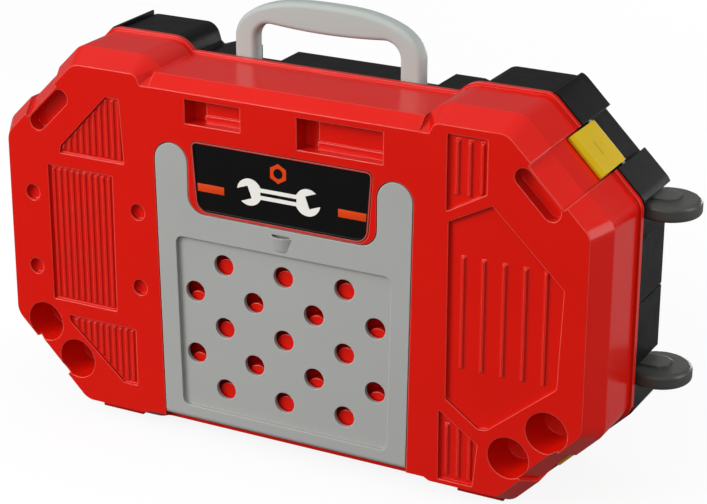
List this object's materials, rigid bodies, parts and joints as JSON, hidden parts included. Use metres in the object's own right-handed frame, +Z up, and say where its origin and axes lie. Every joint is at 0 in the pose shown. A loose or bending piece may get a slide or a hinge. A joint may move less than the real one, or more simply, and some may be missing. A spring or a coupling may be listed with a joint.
{
  "type": "toy workshop set",
  "caption": "Toy workshop carry case with a swing-down pegboard, folding handle, four corner latches, lift-off front and fold-out legs that turn it into a play bench",
  "frame": {"origin": "middle of the base, on the surface the case stands on", "axes": "+X to the right seen from the front, +Y into the depth towards the legs, +Z up"},
  "size_m": [0.494, 0.107, 0.292],
  "materials": {
    "red_shell": "high gloss moulded ABS, red",
    "grey_board": "satin moulded polypropylene, grey",
    "black_plate": "printed gloss black",
    "grey_handle": "fine textured polypropylene, light grey",
    "black_shell": "satin moulded ABS, black",
    "yellow_latch": "satin moulded acetal, yellow",
    "dark_leg": "satin moulded polypropylene, dark grey",
    "steel_pin": "drawn steel"
  },
  "bodies": {
    "case": {"rear_upper_shell": "black_shell", "rear_lower_shell": "black_shell", "inner_tray": "black_shell", "handle_pin_left": "steel_pin", "handle_pin_right": "steel_pin", "latch_pin_upper_right": "steel_pin", "latch_pin_upper_left": "steel_pin", "latch_pin_lower_right": "steel_pin", "latch_pin_lower_left": "steel_pin", "leg_upper_left_pin": "steel_pin", "leg_upper_right_pin": "steel_pin", "leg_lower_left_pin": "steel_pin", "leg_lower_right_pin": "steel_pin"},
    "front": {"front_shell": "red_shell", "name_plate": "black_plate", "board_pin_left": "steel_pin", "board_pin_right": "steel_pin"},
    "tool_board": {"tool_board": "grey_board"},
    "handle": {"handle": "grey_handle"},
    "latch_upper_right": {"latch_upper_right": "yellow_latch"},
    "latch_upper_left": {"latch_upper_left": "yellow_latch"},
    "latch_lower_right": {"latch_lower_right": "yellow_latch"},
    "latch_lower_left": {"latch_lower_left": "yellow_latch"},
    "leg_upper_left": {"leg_upper_left": "dark_leg"},
    "leg_upper_right": {"leg_upper_right": "dark_leg"},
    "leg_lower_left": {"leg_lower_left": "dark_leg"},
    "leg_lower_right": {"leg_lower_right": "dark_leg"}
  },
  "joints": [
    {"name": "front_lift_off", "type": "slide", "parent": "case", "child": "front", "axis": [0, -1, 0], "range_m": [0, 0.09]},
    {"name": "tool_board_hinge", "type": "hinge", "parent": "front", "child": "tool_board", "pos_m": [0, -0.047, 0.018], "axis": [1, 0, 0], "range_deg": [0, 90]},
    {"name": "handle_hinge", "type": "hinge", "parent": "case", "child": "handle", "pos_m": [0, 0.01575, 0.2415], "axis": [-1, 0, 0], "range_deg": [0, 65]},
    {"name": "latch_upper_right_hinge", "type": "hinge", "parent": "case", "child": "latch_upper_right", "pos_m": [0.18666, 0.0246, 0.22766], "axis": [-0.7071, 0, 0.7071], "range_deg": [0, 90]},
    {"name": "latch_upper_left_hinge", "type": "hinge", "parent": "case", "child": "latch_upper_left", "pos_m": [-0.18666, 0.0246, 0.22766], "axis": [-0.7071, 0, -0.7071], "range_deg": [0, 90]},
    {"name": "latch_lower_right_hinge", "type": "hinge", "parent": "case", "child": "latch_lower_right", "pos_m": [0.18666, 0.0246, 0.03234], "axis": [0.7071, 0, 0.7071], "range_deg": [0, 90]},
    {"name": "latch_lower_left_hinge", "type": "hinge", "parent": "case", "child": "latch_lower_left", "pos_m": [-0.18666, 0.0246, 0.03234], "axis": [0.7071, 0, -0.7071], "range_deg": [0, 90]},
    {"name": "leg_upper_left_hinge", "type": "hinge", "parent": "case", "child": "leg_upper_left", "pos_m": [-0.195, 0.0325, 0.1855], "axis": [0, 0, 1], "range_deg": [0, 90]},
    {"name": "leg_upper_right_hinge", "type": "hinge", "parent": "case", "child": "leg_upper_right", "pos_m": [0.195, 0.0325, 0.1855], "axis": [0, 0, -1], "range_deg": [0, 90]},
    {"name": "leg_lower_left_hinge", "type": "hinge", "parent": "case", "child": "leg_lower_left", "pos_m": [-0.195, 0.0325, 0.0745], "axis": [0, 0, 1], "range_deg": [0, 90]},
    {"name": "leg_lower_right_hinge", "type": "hinge", "parent": "case", "child": "leg_lower_right", "pos_m": [0.195, 0.0325, 0.0745], "axis": [0, 0, -1], "range_deg": [0, 90]}
  ]
}
